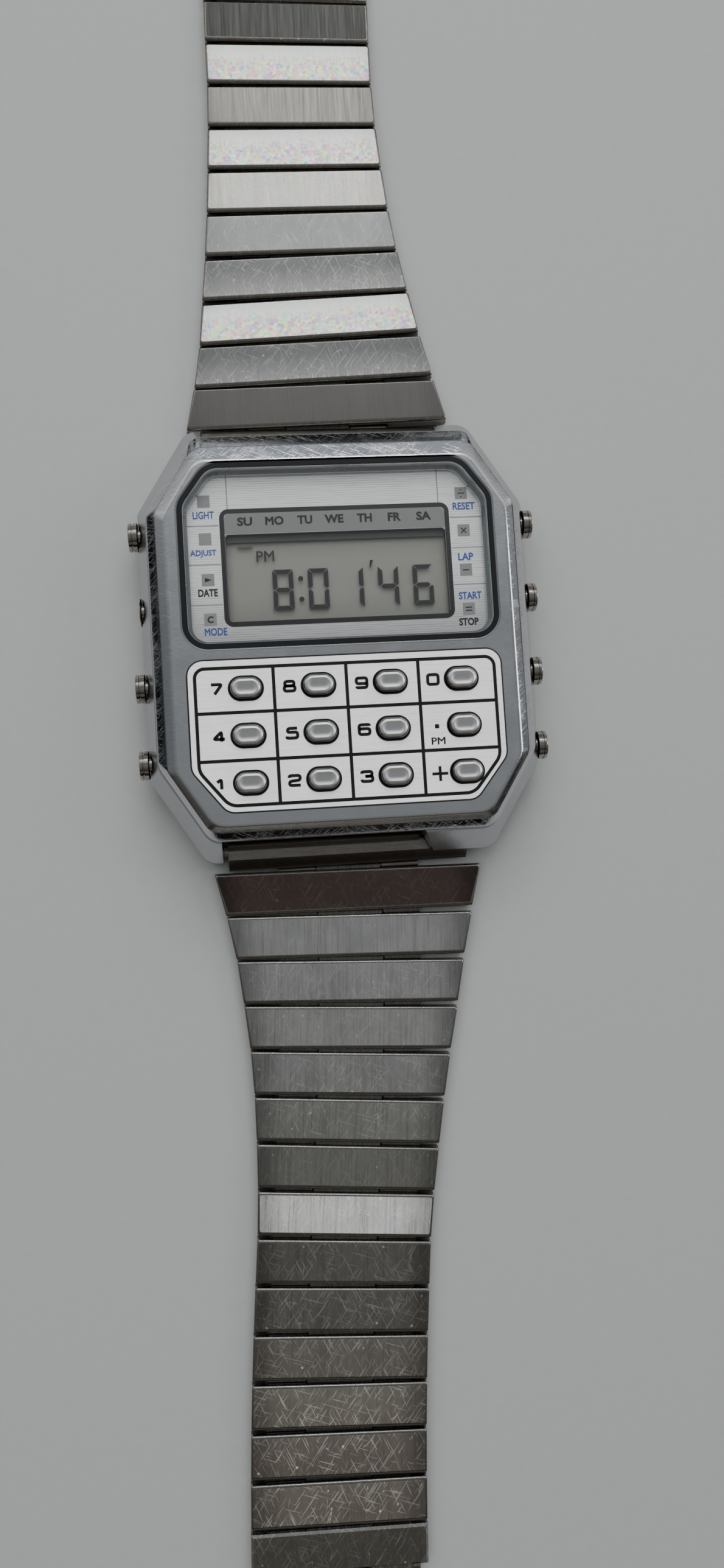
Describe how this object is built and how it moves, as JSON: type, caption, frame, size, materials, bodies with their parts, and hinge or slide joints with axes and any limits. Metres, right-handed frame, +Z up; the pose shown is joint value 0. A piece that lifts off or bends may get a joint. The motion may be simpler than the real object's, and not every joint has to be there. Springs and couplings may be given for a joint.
{
  "type": "calculator wristwatch",
  "caption": "Digital wristwatch with a round-edged metal keypad, side pushers, tapering folded-link bracelet and ladder clasp, laid out open.",
  "frame": {"origin": "middle of the case back's flat outer face", "axes": "+Z up through the dial, +Y towards the 12 o'clock end of the bracelet, +X towards 3 o'clock"},
  "size_m": [0.0382, 0.1993, 0.0097],
  "materials": {
    "case_chrome": "satin chrome plating over brass, polished slopes",
    "bezel_chrome": "satin chrome flat with polished facets",
    "steel_back": "brushed stainless steel",
    "steel_small": "turned stainless steel",
    "black_rubber": "moulded rubber",
    "seal_black": "black moulded gasket",
    "crystal_glass": "clear mineral glass",
    "dial_silver": "silver plate with fine horizontal lines",
    "display_glass": "liquid crystal glass over a grey-green reflector",
    "contact_rubber": "moulded contact rubber",
    "lamp_glass": "small glass bulb",
    "key_plate_aluminium": "bright brushed aluminium with printed lines",
    "board_green": "glass-epoxy board",
    "chip_black": "moulded chip body",
    "can_steel": "drawn steel can",
    "frame_plastic": "moulded plastic",
    "cell_steel": "nickel-plated steel",
    "clamp_steel": "sheet steel",
    "contact_brass": "gold-plated spring sheet",
    "end_link_steel": "worn stainless steel",
    "clasp_steel": "brushed stainless steel",
    "key_chrome": "satin top with a polished rim",
    "pusher_steel": "polished turned steel",
    "link_steel": "brushed folded stainless sheet"
  },
  "bodies": {
    "head": {"case_body": "case_chrome", "case_back": "steel_back", "back_gasket": "black_rubber", "back_screws": "steel_small", "bezel": "bezel_chrome", "crystal": "crystal_glass", "crystal_seal": "seal_black", "dial_plate": "dial_silver", "lcd_panel": "display_glass", "contact_strips": "contact_rubber", "lamp": "lamp_glass", "key_plate": "key_plate_aluminium", "key_membrane": "contact_rubber", "circuit_board": "board_green", "processor_chip": "chip_black", "quartz_can": "can_steel", "module_frame": "frame_plastic", "button_cells": "cell_steel", "battery_clamp": "clamp_steel", "side_contacts": "contact_brass", "pusher_seals": "black_rubber", "spring_bars": "steel_small"},
    "key_7": {"key_7": "key_chrome"},
    "key_8": {"key_8": "key_chrome"},
    "key_9": {"key_9": "key_chrome"},
    "key_0": {"key_0": "key_chrome"},
    "key_4": {"key_4": "key_chrome"},
    "key_5": {"key_5": "key_chrome"},
    "key_6": {"key_6": "key_chrome"},
    "key_point": {"key_point": "key_chrome"},
    "key_1": {"key_1": "key_chrome"},
    "key_2": {"key_2": "key_chrome"},
    "key_3": {"key_3": "key_chrome"},
    "key_plus": {"key_plus": "key_chrome"},
    "pusher_light": {"pusher_light": "pusher_steel"},
    "pusher_adjust": {"pusher_adjust": "pusher_steel"},
    "pusher_date": {"pusher_date": "pusher_steel"},
    "pusher_mode": {"pusher_mode": "pusher_steel"},
    "pusher_divide": {"pusher_divide": "pusher_steel"},
    "pusher_multiply": {"pusher_multiply": "pusher_steel"},
    "pusher_minus": {"pusher_minus": "pusher_steel"},
    "pusher_equals": {"pusher_equals": "pusher_steel"},
    "upper_end_link": {"upper_end_link": "end_link_steel"},
    "upper_links_1_2": {"upper_links_1_2": "link_steel"},
    "upper_links_3_4": {"upper_links_3_4": "link_steel"},
    "upper_links_5_6": {"upper_links_5_6": "link_steel"},
    "upper_links_7_8": {"upper_links_7_8": "link_steel"},
    "upper_links_9_10": {"upper_links_9_10": "link_steel"},
    "clasp_ladder": {"clasp_ladder": "clasp_steel"},
    "lower_end_link": {"lower_end_link": "end_link_steel"},
    "lower_links_1_2": {"lower_links_1_2": "link_steel"},
    "lower_links_3_4": {"lower_links_3_4": "link_steel"},
    "lower_links_5_6": {"lower_links_5_6": "link_steel"},
    "lower_links_7_8": {"lower_links_7_8": "link_steel"},
    "lower_links_9_10": {"lower_links_9_10": "link_steel"},
    "lower_links_11_12": {"lower_links_11_12": "link_steel"},
    "lower_links_13_14": {"lower_links_13_14": "link_steel"},
    "clasp_frame": {"clasp_frame": "clasp_steel"},
    "clasp_cover": {"clasp_cover": "clasp_steel"}
  },
  "joints": [
    {"name": "key_7_press", "type": "slide", "parent": "head", "child": "key_7", "axis": [0, 0, -1], "range_m": [0, 0.00045], "stiffness_N_per_m": 400},
    {"name": "key_8_press", "type": "slide", "parent": "head", "child": "key_8", "axis": [0, 0, -1], "range_m": [0, 0.00045], "stiffness_N_per_m": 400},
    {"name": "key_9_press", "type": "slide", "parent": "head", "child": "key_9", "axis": [0, 0, -1], "range_m": [0, 0.00045], "stiffness_N_per_m": 400},
    {"name": "key_0_press", "type": "slide", "parent": "head", "child": "key_0", "axis": [0, 0, -1], "range_m": [0, 0.00045], "stiffness_N_per_m": 400},
    {"name": "key_4_press", "type": "slide", "parent": "head", "child": "key_4", "axis": [0, 0, -1], "range_m": [0, 0.00045], "stiffness_N_per_m": 400},
    {"name": "key_5_press", "type": "slide", "parent": "head", "child": "key_5", "axis": [0, 0, -1], "range_m": [0, 0.00045], "stiffness_N_per_m": 400},
    {"name": "key_6_press", "type": "slide", "parent": "head", "child": "key_6", "axis": [0, 0, -1], "range_m": [0, 0.00045], "stiffness_N_per_m": 400},
    {"name": "key_point_press", "type": "slide", "parent": "head", "child": "key_point", "axis": [0, 0, -1], "range_m": [0, 0.00045], "stiffness_N_per_m": 400},
    {"name": "key_1_press", "type": "slide", "parent": "head", "child": "key_1", "axis": [0, 0, -1], "range_m": [0, 0.00045], "stiffness_N_per_m": 400},
    {"name": "key_2_press", "type": "slide", "parent": "head", "child": "key_2", "axis": [0, 0, -1], "range_m": [0, 0.00045], "stiffness_N_per_m": 400},
    {"name": "key_3_press", "type": "slide", "parent": "head", "child": "key_3", "axis": [0, 0, -1], "range_m": [0, 0.00045], "stiffness_N_per_m": 400},
    {"name": "key_plus_press", "type": "slide", "parent": "head", "child": "key_plus", "axis": [0, 0, -1], "range_m": [0, 0.00045], "stiffness_N_per_m": 400},
    {"name": "pusher_light_press", "type": "slide", "parent": "head", "child": "pusher_light", "axis": [1, 0, 0], "range_m": [0, 0.0007], "stiffness_N_per_m": 500},
    {"name": "pusher_adjust_press", "type": "slide", "parent": "head", "child": "pusher_adjust", "axis": [1, 0, 0], "range_m": [0, 0.0004], "stiffness_N_per_m": 500},
    {"name": "pusher_date_press", "type": "slide", "parent": "head", "child": "pusher_date", "axis": [1, 0, 0], "range_m": [0, 0.0007], "stiffness_N_per_m": 500},
    {"name": "pusher_mode_press", "type": "slide", "parent": "head", "child": "pusher_mode", "axis": [1, 0, 0], "range_m": [0, 0.0007], "stiffness_N_per_m": 500},
    {"name": "pusher_divide_press", "type": "slide", "parent": "head", "child": "pusher_divide", "axis": [-1, 0, 0], "range_m": [0, 0.0007], "stiffness_N_per_m": 500},
    {"name": "pusher_multiply_press", "type": "slide", "parent": "head", "child": "pusher_multiply", "axis": [-1, 0, 0], "range_m": [0, 0.0007], "stiffness_N_per_m": 500},
    {"name": "pusher_minus_press", "type": "slide", "parent": "head", "child": "pusher_minus", "axis": [-1, 0, 0], "range_m": [0, 0.0007], "stiffness_N_per_m": 500},
    {"name": "pusher_equals_press", "type": "slide", "parent": "head", "child": "pusher_equals", "axis": [-1, 0, 0], "range_m": [0, 0.0007], "stiffness_N_per_m": 500},
    {"name": "upper_end_link_swing", "type": "hinge", "parent": "head", "child": "upper_end_link", "pos_m": [-0.0006, 0.019, 0.0023], "axis": [1, 0, 0], "range_deg": [-55, 3]},
    {"name": "upper_links_1_2_swing", "type": "hinge", "parent": "upper_end_link", "child": "upper_links_1_2", "pos_m": [-0.0006, 0.02105, 0.00065], "axis": [1, 0, 0], "range_deg": [-20, 4]},
    {"name": "upper_links_3_4_swing", "type": "hinge", "parent": "upper_links_1_2", "child": "upper_links_3_4", "pos_m": [-0.00084, 0.02955, 0.00065], "axis": [0.9993, 0.0366, 0], "range_deg": [-20, 4]},
    {"name": "upper_links_5_6_swing", "type": "hinge", "parent": "upper_links_3_4", "child": "upper_links_5_6", "pos_m": [-0.00119, 0.03804, 0.00065], "axis": [0.9993, 0.0366, 0], "range_deg": [-20, 4]},
    {"name": "upper_links_7_8_swing", "type": "hinge", "parent": "upper_links_5_6", "child": "upper_links_7_8", "pos_m": [-0.00135, 0.04654, 0.00065], "axis": [0.9999, 0.014, 0], "range_deg": [-20, 4]},
    {"name": "upper_links_9_10_swing", "type": "hinge", "parent": "upper_links_7_8", "child": "upper_links_9_10", "pos_m": [-0.00138, 0.05504, 0.00065], "axis": [1, 0, 0], "range_deg": [-20, 4]},
    {"name": "clasp_ladder_swing", "type": "hinge", "parent": "upper_links_9_10", "child": "clasp_ladder", "pos_m": [-0.00129, 0.06354, 0.00065], "axis": [0.9999, -0.014, 0], "range_deg": [-20, 4]},
    {"name": "lower_end_link_swing", "type": "hinge", "parent": "head", "child": "lower_end_link", "pos_m": [-0.0002, -0.019, 0.0023], "axis": [1, 0, 0], "range_deg": [-3, 55]},
    {"name": "lower_links_1_2_swing", "type": "hinge", "parent": "lower_end_link", "child": "lower_links_1_2", "pos_m": [-0.0002, -0.02105, 0.00065], "axis": [1, 0, 0], "range_deg": [-4, 20]},
    {"name": "lower_links_3_4_swing", "type": "hinge", "parent": "lower_links_1_2", "child": "lower_links_3_4", "pos_m": [-0.00044, -0.02955, 0.00065], "axis": [0.9993, -0.0384, 0], "range_deg": [-4, 20]},
    {"name": "lower_links_5_6_swing", "type": "hinge", "parent": "lower_links_3_4", "child": "lower_links_5_6", "pos_m": [-0.00099, -0.03803, 0.00065], "axis": [0.9974, -0.0715, 0], "range_deg": [-4, 20]},
    {"name": "lower_links_7_8_swing", "type": "hinge", "parent": "lower_links_5_6", "child": "lower_links_7_8", "pos_m": [-0.00176, -0.04649, 0.00065], "axis": [0.9954, -0.0958, 0], "range_deg": [-4, 20]},
    {"name": "lower_links_9_10_swing", "type": "hinge", "parent": "lower_links_7_8", "child": "lower_links_9_10", "pos_m": [-0.00262, -0.05495, 0.00065], "axis": [0.9949, -0.1011, 0], "range_deg": [-4, 20]},
    {"name": "lower_links_11_12_swing", "type": "hinge", "parent": "lower_links_9_10", "child": "lower_links_11_12", "pos_m": [-0.00344, -0.06341, 0.00065], "axis": [0.9956, -0.0941, 0], "range_deg": [-4, 20]},
    {"name": "lower_links_13_14_swing", "type": "hinge", "parent": "lower_links_11_12", "child": "lower_links_13_14", "pos_m": [-0.00411, -0.07188, 0.00065], "axis": [0.9973, -0.0732, 0], "range_deg": [-4, 20]},
    {"name": "clasp_frame_swing", "type": "hinge", "parent": "lower_links_13_14", "child": "clasp_frame", "pos_m": [-0.00459, -0.08037, 0.00065], "axis": [0.9987, -0.0506, 0], "range_deg": [-4, 20]},
    {"name": "clasp_cover_swing", "type": "hinge", "parent": "clasp_frame", "child": "clasp_cover", "pos_m": [-0.00477, -0.08477, 0.00145], "axis": [0.9991, -0.0419, 0], "range_deg": [-100, 0]}
  ]
}
